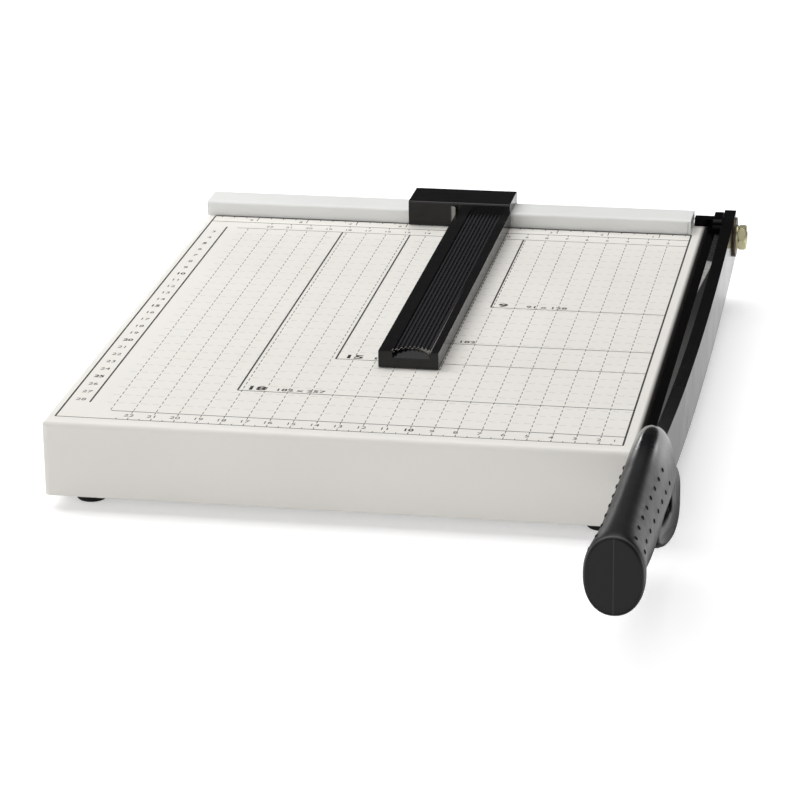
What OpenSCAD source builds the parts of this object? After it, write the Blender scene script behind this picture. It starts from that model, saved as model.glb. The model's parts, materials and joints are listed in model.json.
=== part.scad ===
// Paper cutter: a guillotine trimmer with a pressed-steel base, a fence, a sliding guide and a curved blade.
// Millimetres, +Z up. The board is seen with the fence at the rear (+Y) and the blade on the right (+X).
// The origin is the middle of the whole cutter's footprint, on the table.

/* [Base] */
// Width of the base over its side walls
base_w = 253; // [220:1:320]
// Depth of the base over its front and rear walls
base_d = 330; // [290:1:400]
// Height of the base walls, without the feet
base_h = 33.4; // [30:0.2:45]
// Thickness of the steel sheet
sheet_t = 1.2; // [0.8:0.1:1.6]
// Outside radius of the folded edges and corners
fold_r = 2.8; // [2:0.2:5]
// Width of the return flanges along the front and rear walls
end_flange_w = 27; // [25:1:40]
// Width of the return flanges along the side walls
side_flange_w = 12; // [8:1:20]

/* [Feet] */
// Diameter of a rubber foot at the flange
foot_d = 14; // [12:0.5:16]
// Height of a rubber foot
foot_h = 6.4; // [5.5:0.1:10]
// How much slimmer a foot is at the table
foot_taper = 1; // [0.4:0.1:2]
// Distance from the walls to the middle of a foot
foot_inset = 16.5; // [13:0.5:17]
// Diameter of the foot screws
foot_screw_d = 3; // [2.5:0.5:4]
// Diameter of the foot screw heads
foot_head_d = 5.6; // [5:0.2:7]
// Height of the foot screw heads
foot_head_h = 2; // [1.5:0.1:2.5]
// Rubber between a foot screw head and the flange
foot_web = 2.4; // [2:0.1:2.8]

/* [Fence] */
// Distance from the rear wall to the front face of the fence
fence_setback = 23; // [22:0.5:30]
// Depth of the fence, front to rear
fence_d = 19; // [17:0.5:20]
// Height of the fence above the board
fence_h = 7.3; // [6.5:0.1:10]
// Distance from the right wall to the end of the fence
fence_right_gap = 7.5; // [7.5:0.1:12]
// Wall thickness of the fence
fence_wall = 1.8; // [1.4:0.1:2.4]
// Radius of the fence's upper edges
fence_edge_r = 1.4; // [0.6:0.1:1.7]
// Height of the hook groove under the fence's rear edge
groove_h = 2.9; // [2.6:0.1:3.4]
// Depth of the hook groove under the fence's rear edge
groove_d = 3.2; // [2.6:0.1:4]
// Distance from the fence's right end to the line that parts its end piece
end_line_in = 1.6; // [1:0.1:3]
// Width and depth of that line
end_line = 0.6; // [0.4:0.1:0.8]
// Number of fence screws
fence_screw_n = 3; // [2:1:5]
// Distance from the fence's ends to the outer screws
fence_screw_end = 22; // [12:1:40]
// Diameter of the fence screws
fence_screw_d = 3; // [2.5:0.5:3.5]
// Diameter of the fence screw heads
fence_head_d = 6; // [5.5:0.5:7]
// Height of the fence screw heads
fence_head_h = 2.2; // [1.8:0.1:3]

/* [Paper guide] */
// Distance from the right wall to the guide's right edge
guide_right = 97.6; // [60:0.2:150]
// Width of the saddle along the fence
head_w = 51.2; // [44:0.2:70]
// Height of the saddle above the board
head_h = 12.5; // [11.8:0.1:15]
// Thickness of the saddle's front and rear walls
head_wall = 2.6; // [2:0.1:4]
// Radius of the saddle's upper edges
head_edge_r = 0.8; // [0.4:0.1:1.2]
// Clearance between the saddle and the fence
guide_play = 0.35; // [0.3:0.05:0.5]
// Clearance between the guide and the board
guide_lift = 0.4; // [0.3:0.05:0.6]
// Width of the guide's arm
arm_w = 26.8; // [22:0.2:36]
// Length of the guide's arm in front of the saddle
arm_l = 216; // [120:1:240]
// Height of the guide's arm above the board
arm_h = 7.8; // [7:0.1:9]
// Wall thickness of the guide's arm
arm_wall = 2; // [1.5:0.1:2.4]
// Width of the plain rim on the left of the ribbed floor
rim_left_w = 6.2; // [3:0.2:8]
// Width of the plain rim on the right of the ribbed floor
rim_right_w = 4; // [2.8:0.2:6]
// Depth of the ribbed floor below the rims
floor_drop = 1.2; // [0.8:0.1:1.6]
// Number of ribs on the floor
rib_n = 9; // [5:1:11]
// Width of a rib
rib_w = 0.8; // [0.5:0.1:1]
// Height of a rib
rib_h = 0.6; // [0.3:0.1:0.8]
// Distance from the arm's front end to the back of the thumb scoop
scoop_l = 9; // [6:0.5:12]
// Depth of the thumb scoop at the arm's front end
scoop_drop = 2.8; // [2.6:0.1:4]
// Depth of the thumb scoop at its back
scoop_step = 1.7; // [1.4:0.1:2.4]
// Radius of the fillet between the saddle and the arm
guide_fillet_r = 4; // [2:0.5:6]
// Thickness of the leaf spring in the saddle
spring_t = 0.4; // [0.3:0.05:0.6]
// Width of the leaf spring
spring_w = 8; // [6:0.5:9]
// Span of the leaf spring
spring_span = 36; // [28:1:40]
// Rise of the leaf spring's bow
spring_rise = 2; // [1.5:0.1:2.2]
// Clearance round the leaf spring
spring_gap = 0.3; // [0.2:0.05:0.4]

/* [Bed knife] */
// Thickness of the bed knife
bed_t = 7.1; // [6.5:0.1:9]
// Height of the bed knife
bed_h = 26; // [24:0.5:28]
// Width of the ground land along the cutting edge
land_w = 3; // [2:0.1:3.5]
// Drop of the ground land towards the cutting edge
land_drop = 0.6; // [0.2:0.1:1]
// Thickness of the ear at the pivot
ear_t = 4.2; // [3.6:0.1:5]
// Length of the ear along the bed knife
ear_l = 20; // [18.5:0.5:26]
// Rise of the ear above the board
ear_rise = 6.6; // [5.8:0.1:9]
// Distance from the base's wall to the foot of the ear's sloping side
ear_foot = 0.6; // [0.4:0.1:1]
// Radius of the ear's upper corners
ear_r = 4; // [2:0.5:5]
// Number of bed knife screws
bed_screw_n = 4; // [3:1:6]
// Diameter of the bed knife screws
bed_screw_d = 5; // [4:0.5:6]
// Depth of the screw holes in the bed knife
bed_screw_depth = 5.6; // [5:0.1:5.9]
// Distance from the bed knife's ends to the outer screws
bed_screw_end = 40; // [35:1:60]
// Depth of the bed knife screws below the board
bed_screw_drop = 14; // [12:0.5:16]
// Diameter of the bed knife screw heads
bed_head_d = 9; // [8:0.5:10]
// Height of the bed knife screw heads
bed_head_h = 3.4; // [2.8:0.1:4]
// Diameter of the washers under the bed knife screws
bed_washer_d = 11; // [10.5:0.5:14]
// Thickness of the washers under the bed knife screws
bed_washer_t = 1; // [0.6:0.1:1.6]

/* [Ear brace] */
// Width of the brace on the board, from the right wall inwards
brace_in = 7.2; // [7:0.1:7.4]
// Depth of the brace
brace_d = 6.8; // [6:0.1:7.2]
// Height of the brace
brace_h = 3.6; // [3:0.1:5]
// Distance from the rear wall to the brace
brace_inset = 0.6; // [0.4:0.1:1]
// Diameter of the brace screw
brace_screw_d = 2.4; // [2:0.1:2.6]
// Diameter of the brace screw's head
brace_head_d = 4; // [3.6:0.2:4.2]
// Height of the brace screw's head
brace_head_h = 1.6; // [1.2:0.1:2]
// Length of the brace screw inside the brace
brace_bite = 2.4; // [1.6:0.1:2.6]

/* [Pivot] */
// Distance from the rear wall to the pivot axis
pivot_inset = 9; // [8.5:0.5:12]
// Depth of the pivot axis below the board
pivot_drop = 4.4; // [4:0.1:6]
// Diameter of the pivot stud
stud_d = 7; // [6:0.5:8]
// Running clearance between the stud and the blade, on the radius
stud_play = 0.05; // [0.03:0.01:0.08]
// Length of the stud past the nut
stud_tail = 0.4; // [0.2:0.1:3]
// Diameter of the large washer
washer_d = 19.6; // [17:0.2:22]
// Thickness of the large washer
washer_t = 1.2; // [0.8:0.1:2]
// Diameter of the lock washer
lock_d = 11.8; // [11:0.2:14]
// Thickness of the lock washer
lock_t = 0.9; // [0.6:0.1:1.6]
// Width of the nut across its flats
nut_af = 11; // [10:0.5:13]
// Height of the nut
nut_h = 4; // [3:0.1:7]

/* [Blade] */
// Thickness of the blade
blade_t = 5.6; // [5:0.1:7]
// Clearance between the blade and the bed knife, and between the blade and the washer
blade_gap = 0.1; // [0.05:0.01:0.2]
// Height of the blade from its back to its edge
blade_h = 30.3; // [27:0.1:32]
// Radius of the blade's curved back
back_r = 1700; // [1400:10:2400]
// Distance in front of the pivot where the back dips lowest
back_low_reach = 126; // [110:1:140]
// Height of the lowest part of the back above the pivot axis
back_rise = 5; // [3.5:0.1:6]
// Length of the blade behind the pivot axis
tail_l = 11; // [9:0.2:13]
// Height of the ground bevel
bevel_h = 5; // [3:0.2:7]
// Thickness left at the cutting edge
edge_t = 0.8; // [0.4:0.1:1.5]
// Length of the tang inside the handle
tang_l = 70; // [60:1:80]
// Height of the tang
tang_h = 14; // [12:0.2:16]
// Drop of the tang below the blade's back
tang_in = 1; // [0:0.1:2]

/* [Handle] */
// Distance from the front wall to the handle's nose
handle_gap = 34; // [30:0.5:60]
// Length of the handle
handle_l = 143; // [134:1:160]
// Depth of the handle's datum below the end of the blade's back
handle_drop = 17.6; // [16:0.2:19]
// Width of the grip
grip_w = 18.6; // [17:0.2:22]
// Height of the grip's top above the datum
grip_top = 32; // [30.5:0.5:36]
// Width of the pommel
pommel_w = 22.8; // [21:0.2:26]
// Height of the pommel's top above the datum
pommel_top = 34.8; // [33:0.2:38]
// Height of the pommel's bottom above the datum
pommel_bottom = 3.2; // [0:0.2:4]
// Depth of the belly below the datum
belly_drop = 4.6; // [2:0.2:7]
// Width of the finger guard
guard_w = 19.6; // [18:0.2:20.4]
// Length of the finger guard
guard_l = 80; // [70:0.5:84]
// Height of the finger guard
guard_h = 30; // [26:0.5:32]
// How fast the finger guard narrows above its middle
guard_taper = 1.05; // [0.9:0.05:1.2]
// Radius of the finger guard's edges
guard_edge_r = 2.4; // [2:0.2:2.8]
// How far the blade's full height runs into the handle
blade_bury = 11; // [8:0.5:14]
// Clearance between the blade and the handle's pocket
pocket_play = 0.15; // [0.1:0.05:0.3]
// Diameter of the handle screws
handle_screw_d = 4; // [3:0.5:4.5]
// Diameter of the handle screw heads
handle_head_d = 7; // [6:0.2:7.6]
// Height of the handle screw heads
handle_head_h = 2.2; // [1.8:0.1:2.6]
// Plastic between a handle screw head and the tang
handle_web = 3; // [2.4:0.1:3.2]
// Depth of the handle screws in the right half, from the parting plane
handle_bite = 6.4; // [5.4:0.1:6.8]
// Distance from the tang's root to the first handle screw
handle_screw_1 = 18; // [14:0.5:22]
// Distance between the two handle screws
handle_screw_gap = 36; // [30:0.5:40]

/* [Hidden] */
$fn = 48;
// Clearance of a screw in its hole, on the radius
screw_play = 0.05;
// Clearance between the tip of a screw and the end of its blind hole
tip_play = 0.4;
// Clearance of a screw head in its recess, on the radius
head_play = 0.2;
// Overlap that lets a cut pass clean through a face
cut = 1;
// Fragments of a full turn for the blade's shallow arcs
arc_fn = 2000;

// Levels
z_rim = foot_h;
z_board = foot_h + base_h;
z_pivot = z_board - pivot_drop;

// Places across the cutter
x_wall = base_w / 2;
x_bed = x_wall + bed_t;
x_ear = x_bed - ear_t;
x_blade = x_bed + blade_gap;
x_mid = x_blade + blade_t / 2;
x_washer = x_blade + blade_t + blade_gap;
x_lock = x_washer + washer_t;
x_nut = x_lock + lock_t;
x_stud_end = x_nut + nut_h + stud_tail;
x_guide = x_wall - guide_right;

// Places along the cutter
y_rear = base_d / 2;
y_pivot = y_rear - pivot_inset;
y_fence = y_rear - fence_setback;
y_nose = -y_rear - handle_gap;

// The fence runs from the left wall to short of the right wall
fence_l = base_w - fence_right_gap;
fence_screw_y = y_fence + (fence_d - groove_d) / 2;
fence_screw_step = (fence_l - 2 * fence_screw_end) / (fence_screw_n - 1);
fence_screw_x = [for (i = [0 : fence_screw_n - 1]) -x_wall + fence_screw_end + i * fence_screw_step];
fence_boss_d = fence_screw_d + 2 * fence_wall;
fence_bite = fence_h - fence_wall - tip_play;

// Bed knife screws
bed_screw_step = (base_d - 2 * bed_screw_end) / (bed_screw_n - 1);
bed_screw_y = [for (i = [0 : bed_screw_n - 1]) -y_rear + bed_screw_end + i * bed_screw_step];
z_bed_screw = z_board - bed_screw_drop;

// Feet
foot_x = x_wall - foot_inset;
foot_y = y_rear - foot_inset;

// The brace fills the space between the board's edge and the ear
brace_y = y_rear - brace_inset - brace_d;
brace_screw_x = x_wall - fold_r - brace_head_d / 2 - head_play;
brace_screw_y = y_rear - fold_r - brace_head_d / 2 - head_play;

// The blade's back and edge are arcs about one axis
y_arc = y_pivot - back_low_reach;
z_arc = z_pivot + back_rise + back_r;
tail_angle = asin((back_low_reach + tail_l) / back_r);
front_angle = asin((y_arc - y_nose + blade_bury) / back_r);
z_handle = z_arc - back_r * cos(front_angle) - handle_drop;

// The ribbed floor of the guide's arm
y_saddle = y_fence - guide_play - head_wall;
y_arm_end = y_saddle - arm_l;
arm_x0 = x_guide - arm_w;
floor_x0 = arm_x0 + rim_left_w;
floor_w = arm_w - rim_left_w - rim_right_w;
rib_step = floor_w / rib_n;
z_guide = z_board + guide_lift;
z_floor = z_board + arm_h - floor_drop;
saddle_inside = fence_h + guide_play;

// Shares of the grip's length, half width and top height: place, half width, widest line, top and bottom
grip_r = grip_w / 2;
pommel_r = pommel_w / 2;
grip_shares = [
    [0, 0.42, 0.28, 0.43, 0.1],
    [0.01, 0.71, 0.27, 0.61, 0.02],
    [0.03, 0.92, 0.25, 0.77, -0.03],
    [0.063, 0.995, 0.22, 0.88, -0.06],
    [0.125, 1, 0.19, 0.955, -0.03],
    [0.22, 1, 0.2, 0.995, 0.015],
    [0.335, 1, 0.27, 1, 0.015]
];
belly_shares = [[0.46, 1, 0.36, 1, -1], [0.59, 1, 0.45, 1.015, -0.87], [0.71, 1, 0.53, 1.035, -0.2]];
// Shares of the pommel's half width: distance from the end, then what the half width, top and bottom lose
pommel_shares = [[2, 0.16, 0.07, -0.1], [1, 0.06, 0.02, -0.02], [0.4, 0, 0, 0], [0.15, 0.02, 0.025, 0.025],
    [0.05, 0.07, 0.09, 0.09], [0.01, 0.15, 0.2, 0.2], [0, 0.4, 0.55, 0.55]];
pommel_mid = (pommel_top + pommel_bottom) / 2;
grip_sections = concat(
    [for (s = grip_shares)
        [s[0] * handle_l, s[1] * grip_r, s[2] * grip_top, s[3] * grip_top, s[4] * grip_top]],
    [for (s = belly_shares)
        [s[0] * handle_l, s[1] * grip_r, s[2] * grip_top, s[3] * grip_top, s[4] * belly_drop]],
    [for (s = pommel_shares)
        [handle_l - s[0] * pommel_r, (1 - s[1]) * pommel_r, pommel_mid,
            pommel_top - s[2] * pommel_r, pommel_bottom + s[3] * pommel_r]]
);
// Outline of the finger guard, in shares of its length and height from the nose and the datum
guard_shares = [
    [0.165, 0.4], [0.05, 0.37], [-0.04, 0.27], [-0.1, 0.07], [-0.12, -0.17], [-0.115, -0.38],
    [-0.075, -0.525], [0.01, -0.58], [0.15, -0.565], [0.325, -0.465], [0.54, -0.3], [0.7, -0.145],
    [0.83, -0.01], [0.89, 0.1], [0.88, 0.22], [0.78, 0.22], [0.63, 0.09], [0.5, 0.02], [0.4, -0.01],
    [0.325, 0.01], [0.285, 0.13], [0.26, 0.3]
];
guard_outline = [for (s = guard_shares) [s[0] * guard_l, s[1] * guard_h]];
// Share of its height below the datum where the guard starts to narrow
guard_waist = 0.1;
// Rings between two handle sections, points round half a section and steps round the guard's edge
section_steps = 2;
half_points = 18;
edge_steps = 3;
// Roundness of a section above and below its widest line: 2 is an ellipse, more is squarer
round_top = 2.1;
round_bottom = 2.15;

// Overall footprint, and the shift that brings its middle to the origin
footprint_x = [-x_wall, max(x_stud_end, x_mid + pommel_r)];
footprint_y = [y_nose - handle_l, max(y_rear, y_arc + (back_r + blade_h) * sin(tail_angle))];
to_origin = [-(footprint_x[0] + footprint_x[1]) / 2, -(footprint_y[0] + footprint_y[1]) / 2, 0];

// Catmull-Rom value between items i and i + 1 of a list, held at its ends
function along(p, i, t) =
    let (a = p[max(i - 1, 0)], b = p[i], c = p[i + 1], d = p[min(i + 2, len(p) - 1)])
    0.5 * (2 * b + (c - a) * t + (2 * a - 5 * b + 4 * c - d) * t * t + (3 * b - a - 3 * c + d) * t * t * t);

// The same on a closed list
function around(p, i, t) =
    let (n = len(p), a = p[(i + n - 1) % n], b = p[i], c = p[(i + 1) % n], d = p[(i + 2) % n])
    0.5 * (2 * b + (c - a) * t + (2 * a - 5 * b + 4 * c - d) * t * t + (3 * b - a - 3 * c + d) * t * t * t);

// A cylinder that lies along X
module rod_x(d, l) {
    rotate([0, 90, 0]) cylinder(d = d, h = l);
}

// A hexagonal prism that lies along X
module hex_x(af, l) {
    rotate([0, 90, 0]) rotate([0, 0, 30]) cylinder(d = af / cos(30), h = l, $fn = 6);
}

// A rectangle with round corners, centred
module round_rect(w, d, r) {
    square([w - 2 * r, d], center = true);
    square([w, d - 2 * r], center = true);
    for (x = [-1, 1], y = [-1, 1]) translate([x * (w / 2 - r), y * (d / 2 - r)]) circle(r);
}

// A rectangle that stands on its lower edge, with round upper corners, centred across
module arch_rect(w, h, r) {
    translate([-w / 2, 0]) square([w, h - r]);
    translate([r - w / 2, 0]) square([w - 2 * r, h]);
    for (x = [-1, 1]) translate([x * (w / 2 - r), h - r]) circle(r);
}

// A block with round vertical corners and round upper edges, standing on z = 0
module tray_block(w, d, h, r) {
    intersection() {
        linear_extrude(h) round_rect(w, d, r);
        translate([0, d / 2, 0]) rotate([90, 0, 0]) linear_extrude(d) arch_rect(w, h, r);
        translate([-w / 2, 0, 0]) rotate([90, 0, 90]) linear_extrude(w) arch_rect(d, h, r);
    }
}

// Holes for every screw that passes through the base
module base_holes() {
    for (x = fence_screw_x)
        translate([x, fence_screw_y, z_board - 2 * sheet_t])
            cylinder(d = fence_screw_d + 2 * screw_play, h = 3 * sheet_t);
    translate([brace_screw_x, brace_screw_y, z_board - 2 * sheet_t])
        cylinder(d = brace_screw_d + 2 * screw_play, h = 3 * sheet_t);
    for (y = bed_screw_y)
        translate([x_wall - 2 * sheet_t, y, z_bed_screw])
            rod_x(bed_screw_d + 2 * screw_play, 3 * sheet_t);
    for (x = [-1, 1], y = [-1, 1])
        translate([x * foot_x, y * foot_y, z_rim - sheet_t])
            cylinder(d = foot_screw_d + 2 * screw_play, h = 3 * sheet_t);
}

// Pressed-steel tray, open below, with return flanges along its lower edge
module base_shell() {
    color([0.82, 0.81, 0.77])
    difference() {
        translate([0, 0, z_rim]) tray_block(base_w, base_d, base_h, fold_r);
        translate([0, 0, z_rim + sheet_t])
            tray_block(base_w - 2 * sheet_t, base_d - 2 * sheet_t, base_h - 2 * sheet_t, fold_r - sheet_t);
        translate([side_flange_w - x_wall, end_flange_w - y_rear, z_rim - cut])
            cube([base_w - 2 * side_flange_w, base_d - 2 * end_flange_w, sheet_t + 2 * cut]);
        base_holes();
    }
}

// Cross-section of the fence, with its front face at 0 and its rear edge at fence_d
module fence_section() {
    difference() {
        translate([fence_d / 2, 0]) arch_rect(fence_d, fence_h, fence_edge_r);
        translate([fence_d - groove_d, -cut]) square([groove_d + cut, groove_h + cut]);
    }
}

// Moulded fence with closed ends, screw bosses inside and a hook groove along its rear edge
module fence_rail() {
    hollow_d = fence_d - groove_d - 2 * fence_wall;
    color([0.87, 0.87, 0.87])
    translate([0, 0, z_board])
    difference() {
        union() {
            difference() {
                translate([-x_wall, y_fence, 0]) rotate([90, 0, 90]) linear_extrude(fence_l) fence_section();
                translate([fence_wall - x_wall, y_fence + fence_wall, -cut])
                    cube([fence_l - 2 * fence_wall, hollow_d, fence_h - fence_wall + cut]);
                translate([fence_l - x_wall - end_line_in, y_fence - cut, -cut])
                    cube([end_line, end_line + cut, fence_h - fence_edge_r + cut]);
            }
            for (x = fence_screw_x)
                translate([x, fence_screw_y, 0]) cylinder(d = fence_boss_d, h = fence_h - fence_wall / 2);
        }
        for (x = fence_screw_x)
            translate([x, fence_screw_y, -cut])
                cylinder(d = fence_screw_d + 2 * screw_play, h = fence_bite + tip_play / 2 + cut);
    }
}

// Pan-head screw that points up, with its head's seat at z = 0
module screw_up(d, l, head_d, head_h) {
    cylinder(d = d, h = l);
    translate([0, 0, -head_h]) cylinder(d = head_d, h = head_h);
}

module fence_screws() {
    color([0.7, 0.7, 0.7])
    for (x = fence_screw_x)
        translate([x, fence_screw_y, z_board - sheet_t])
            screw_up(fence_screw_d, sheet_t + fence_bite, fence_head_d, fence_head_h);
}

// Saddle over the fence, with a hook that runs in the groove and a pocket for the spring
module guide_saddle() {
    inside_d = fence_d + 2 * guide_play;
    outside_d = inside_d + 2 * head_wall;
    hook_top = groove_h - guide_play;
    hook_d = groove_d - guide_play;
    pocket_h = spring_rise + spring_t + 2 * spring_gap - guide_play;
    pocket_side = 2 * spring_gap;
    difference() {
        translate([x_guide - head_w, y_saddle, z_guide])
            rotate([90, 0, 90]) linear_extrude(head_w)
                translate([outside_d / 2, 0]) arch_rect(outside_d, head_h - guide_lift, head_edge_r);
        translate([x_guide - head_w - cut, y_fence - guide_play, z_board + hook_top])
            cube([head_w + 2 * cut, inside_d, saddle_inside - hook_top]);
        translate([x_guide - head_w - cut, y_fence - guide_play, z_board - cut])
            cube([head_w + 2 * cut, inside_d - hook_d, hook_top + 2 * cut]);
        translate([
            x_guide - head_w / 2 - spring_span / 2 - pocket_side,
            y_fence + fence_d / 2 - spring_w / 2 - pocket_side,
            z_board + saddle_inside - cut
        ])
            cube([spring_span + 2 * pocket_side, spring_w + 2 * pocket_side, pocket_h + cut]);
    }
}

// Ribbed arm: rims, a sunk floor with ribs, a sloping thumb scoop and a hollow underside with cross ribs
module guide_arm() {
    hollow_w = arm_w - 2 * arm_wall;
    hollow_l = arm_l - 2 * arm_wall;
    cross_n = 5;
    scoop_r = (floor_w * floor_w / 4 + scoop_l * scoop_l) / (2 * scoop_l);
    difference() {
        translate([arm_x0, y_arm_end, z_guide]) cube([arm_w, arm_l + head_wall, arm_h - guide_lift]);
        difference() {
            translate([floor_x0, y_arm_end + arm_wall, z_floor])
                cube([floor_w, arm_l - arm_wall, floor_drop + cut]);
            for (i = [0 : rib_n - 1])
                translate([floor_x0 + (i + 0.5) * rib_step - rib_w / 2, y_arm_end, z_floor - cut])
                    cube([rib_w, arm_l, rib_h + cut]);
        }
        intersection() {
            translate([floor_x0 + floor_w / 2, y_arm_end + scoop_l - scoop_r, z_board])
                cylinder(r = scoop_r, h = arm_h + cut);
            translate([floor_x0, y_arm_end, z_board + arm_h])
                rotate([90, 0, 90]) linear_extrude(floor_w)
                    polygon([
                        [-cut, -scoop_drop], [0, -scoop_drop], [scoop_l, -scoop_step],
                        [scoop_l + cut, -scoop_step], [scoop_l + cut, cut], [-cut, cut]
                    ]);
        }
        difference() {
            translate([arm_x0 + arm_wall, y_arm_end + arm_wall, z_guide - cut])
                cube([hollow_w, hollow_l, arm_h - guide_lift - scoop_drop - arm_wall + cut]);
            for (i = [1 : cross_n])
                translate([arm_x0, y_arm_end + i * arm_l / (cross_n + 1) - arm_wall / 2, z_guide - 2 * cut])
                    cube([arm_w, arm_wall, arm_h]);
        }
    }
}

// Concave fillet in the corner between the saddle and the arm
module guide_fillet() {
    translate([arm_x0 - guide_fillet_r, y_saddle - guide_fillet_r, z_guide])
    difference() {
        cube([
            guide_fillet_r + arm_wall / 2,
            guide_fillet_r + head_wall / 2,
            head_h - guide_lift - 2 * head_edge_r
        ]);
        translate([0, 0, -cut]) cylinder(r = guide_fillet_r, h = head_h + cut);
        translate([guide_fillet_r, -cut, arm_h - guide_lift])
            cube([arm_wall, guide_fillet_r + cut, head_h]);
    }
}

module guide_slider() {
    color([0.1, 0.1, 0.11]) {
        guide_saddle();
        guide_arm();
        guide_fillet();
    }
}

// Bowed leaf spring between the saddle and the top of the fence
module guide_spring() {
    bow_r = (spring_span * spring_span / 4 + spring_rise * spring_rise) / (2 * spring_rise);
    bow_angle = asin(spring_span / 2 / bow_r);
    spring_low = z_board + fence_h + spring_gap;
    color([0.75, 0.75, 0.76])
    translate([x_guide - head_w / 2, y_fence + fence_d / 2 + spring_w / 2, spring_low + bow_r + spring_t])
        rotate([90, 0, 0])
            rotate([0, 0, -90 - bow_angle])
                rotate_extrude(angle = 2 * bow_angle, $fn = 360)
                    translate([bow_r, 0]) square([spring_t, spring_w]);
}

// Outline of the ear, looking along -X: centred on its own length, standing on z = 0
module ear_outline() {
    arch_rect(ear_l, bed_h + ear_rise, ear_r);
}

// Fixed knife bar with a ground land along its cutting edge and an ear for the pivot
module bed_knife() {
    color([0.1, 0.1, 0.1])
    difference() {
        union() {
            translate([x_wall, y_rear, z_board - bed_h])
                rotate([90, 0, 0]) linear_extrude(base_d)
                    polygon([
                        [0, 0], [bed_t, 0], [bed_t, bed_h - land_drop], [bed_t - land_w, bed_h], [0, bed_h]
                    ]);
            translate([x_ear, y_rear - ear_l / 2, z_board - bed_h])
                rotate([90, 0, 90]) linear_extrude(ear_t) ear_outline();
            translate([x_wall, brace_y - head_play, z_board])
                rotate([90, 0, 0]) linear_extrude(ear_l - brace_inset - brace_d - head_play - ear_r)
                    polygon([
                        [ear_foot, 0], [ear_foot, -ear_r], [bed_t - ear_t / 2, -ear_r],
                        [bed_t - ear_t / 2, ear_rise - ear_r / 2], [bed_t - ear_t, ear_rise - ear_r / 2]
                    ]);
        }
        translate([x_wall - cut, y_pivot, z_pivot]) rod_x(stud_d + 2 * screw_play, bed_t + 2 * cut);
        for (y = bed_screw_y)
            translate([x_wall - cut, y, z_bed_screw])
                rod_x(bed_screw_d + 2 * screw_play, bed_screw_depth + cut);
    }
}

// Screws that clamp the bed knife from inside the base
module bed_knife_screws() {
    shank_l = bed_washer_t + sheet_t + bed_screw_depth - tip_play;
    color([0.7, 0.7, 0.7])
    for (y = bed_screw_y)
        translate([x_wall - sheet_t - bed_washer_t, y, z_bed_screw])
            rotate([0, 90, 0]) screw_up(bed_screw_d, shank_l, bed_head_d, bed_head_h);
}

module bed_knife_washers() {
    color([0.7, 0.7, 0.7])
    for (y = bed_screw_y)
        translate([x_wall - sheet_t - bed_washer_t, y, z_bed_screw])
            difference() {
                rod_x(bed_washer_d, bed_washer_t);
                translate([-cut, 0, 0]) rod_x(bed_screw_d + 2 * screw_play, bed_washer_t + 2 * cut);
            }
}

// Block on the board that backs up the ear
module ear_brace() {
    color([0.1, 0.1, 0.1])
    difference() {
        translate([x_wall - brace_in, brace_y, z_board]) cube([x_ear - x_wall + brace_in, brace_d, brace_h]);
        translate([brace_screw_x, brace_screw_y, z_board - cut])
            cylinder(d = brace_screw_d + 2 * screw_play, h = brace_bite + tip_play + cut);
    }
}

module ear_brace_screw() {
    color([0.7, 0.7, 0.7])
    translate([brace_screw_x, brace_screw_y, z_board - sheet_t])
        screw_up(brace_screw_d, sheet_t + brace_bite, brace_head_d, brace_head_h);
}

// Threaded stud, screwed into the ear, that carries the blade
module pivot_stud() {
    chamfer = stud_d / 10;
    stud_l = x_stud_end - x_wall;
    color([0.75, 0.72, 0.55])
    translate([x_wall, y_pivot, z_pivot]) {
        rod_x(stud_d, stud_l - chamfer);
        translate([stud_l - chamfer, 0, 0])
            rotate([0, 90, 0]) cylinder(d1 = stud_d, d2 = stud_d - 2 * chamfer, h = chamfer);
    }
}

// Flat ring on the stud
module stud_ring(x, d, t) {
    translate([x, y_pivot, z_pivot])
    difference() {
        rod_x(d, t);
        translate([-cut, 0, 0]) rod_x(stud_d + 2 * screw_play, t + 2 * cut);
    }
}

module pivot_washer() {
    color([0.2, 0.18, 0.16]) stud_ring(x_washer, washer_d, washer_t);
}

module pivot_lock_washer() {
    color([0.76, 0.74, 0.58]) stud_ring(x_lock, lock_d, lock_t);
}

// Hexagon nut with chamfered corners
module pivot_nut() {
    corner_d = nut_af / cos(30);
    chamfer = (corner_d - nut_af) / 2;
    color([0.76, 0.74, 0.58])
    translate([x_nut, y_pivot, z_pivot])
    difference() {
        intersection() {
            hex_x(nut_af, nut_h);
            rotate([0, 90, 0])
                rotate_extrude()
                    polygon([
                        [0, 0], [corner_d / 2 - chamfer, 0], [corner_d / 2, chamfer],
                        [corner_d / 2, nut_h - chamfer], [corner_d / 2 - chamfer, nut_h], [0, nut_h]
                    ]);
        }
        translate([-cut, 0, 0]) rod_x(stud_d + 2 * screw_play, nut_h + 2 * cut);
    }
}

// The blade's plate: a curved bar of the given section that ends in a tang, grown on all sides by grow
module blade_plate(section, grow = 0) {
    grow_angle = grow / back_r * 180 / PI;
    translate([x_blade - grow, y_arc, z_arc])
    rotate([0, 90, 0])
    rotate([0, 0, -front_angle - grow_angle]) {
        rotate_extrude(angle = front_angle + tail_angle + 2 * grow_angle, $fn = arc_fn) polygon(section);
        translate([back_r + tang_in - grow, -tang_l, 0])
            cube([tang_h + 2 * grow, tang_l + blade_bury / 2, blade_t + 2 * grow]);
    }
}

// Cross-section of the blade: radius from the arc's axis, and thickness from the inner face
blade_section = [
    [back_r, 0], [back_r + blade_h, 0], [back_r + blade_h, edge_t],
    [back_r + blade_h - bevel_h, blade_t], [back_r, blade_t]
];
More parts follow.
